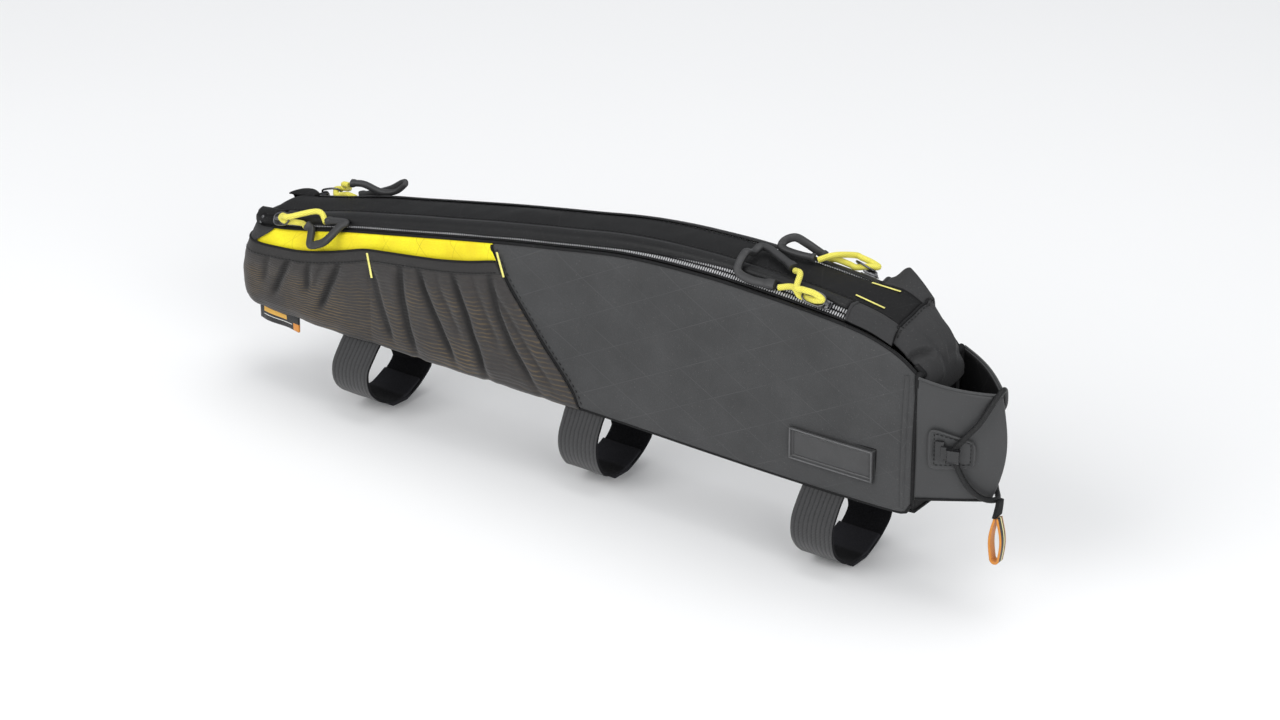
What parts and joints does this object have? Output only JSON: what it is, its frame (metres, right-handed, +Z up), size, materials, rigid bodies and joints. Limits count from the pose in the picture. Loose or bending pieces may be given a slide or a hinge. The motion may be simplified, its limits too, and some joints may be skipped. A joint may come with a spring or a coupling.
{
  "type": "bicycle top tube bag",
  "caption": "Long slim top tube bag: arched zipped top, gathered mesh side pocket, open front pocket with elastic cord, and hook-and-loop straps beneath.",
  "frame": {"origin": "on the underside of the base, on its middle line, at the middle strap, where the bag sits on the top tube", "axes": "+X to the front of the bicycle, +Y to the bag's left, +Z up"},
  "size_m": [0.4839, 0.0658, 0.1627],
  "materials": {
    "grey_cloth": "matt woven nylon, faint ripstop",
    "black_cloth": "matt woven nylon",
    "coated_cloth": "smooth coated cloth",
    "yellow_cloth": "light woven nylon with crossed rip lines",
    "mesh_cloth": "ribbed stretch mesh",
    "strap_webbing": "ribbed hook-and-loop webbing",
    "grey_rubber": "matt moulded rubber",
    "yellow_cord": "braided cord",
    "black_plastic": "satin nylon",
    "dark_metal": "dark plated metal",
    "orange_ribbon": "woven ribbon"
  },
  "bodies": {
    "root": {"base_panel": "black_cloth", "bungee_cord": "black_cloth", "cord_hook_left": "black_plastic", "cord_hook_right": "black_plastic", "cord_patch_left": "coated_cloth", "cord_patch_right": "coated_cloth", "front_gusset": "black_cloth", "front_hood": "grey_cloth", "front_pocket": "coated_cloth", "front_pocket_floor": "black_cloth", "label_tab": "black_cloth", "pocket_backing": "yellow_cloth", "pocket_hem": "black_cloth", "pocket_mesh": "mesh_cloth", "pull_cord_front_left": "yellow_cord", "pull_cord_front_right": "yellow_cord", "pull_cord_rear_left": "yellow_cord", "pull_cord_rear_right": "yellow_cord", "pull_handle_front_left": "grey_rubber", "pull_handle_front_right": "grey_rubber", "pull_handle_rear_left": "grey_rubber", "pull_handle_rear_right": "grey_rubber", "pull_ribbon": "orange_ribbon", "pull_ring_front_left": "dark_metal", "pull_ring_front_right": "dark_metal", "pull_ring_rear_left": "dark_metal", "pull_ring_rear_right": "dark_metal", "pull_tab": "black_cloth", "rear_gusset": "grey_cloth", "side_badge": "grey_rubber", "side_panel_left": "grey_cloth", "side_panel_right": "grey_cloth", "slider_front_left": "dark_metal", "slider_front_right": "dark_metal", "slider_rear_left": "dark_metal", "slider_rear_right": "dark_metal", "strap_front_left": "strap_webbing", "strap_front_right": "strap_webbing", "strap_middle_left": "strap_webbing", "strap_middle_right": "strap_webbing", "strap_rear_left": "strap_webbing", "strap_rear_right": "strap_webbing", "top_panel": "black_cloth", "zip_coil_left": "black_plastic", "zip_coil_right": "black_plastic", "zip_end_flap_left": "grey_cloth", "zip_end_flap_right": "grey_cloth", "zip_flap_left": "black_cloth", "zip_flap_right": "black_cloth", "zip_rear_tab_left": "black_cloth", "zip_rear_tab_right": "black_cloth", "zip_tape_left": "black_cloth", "zip_tape_right": "black_cloth"}
  },
  "joints": []
}
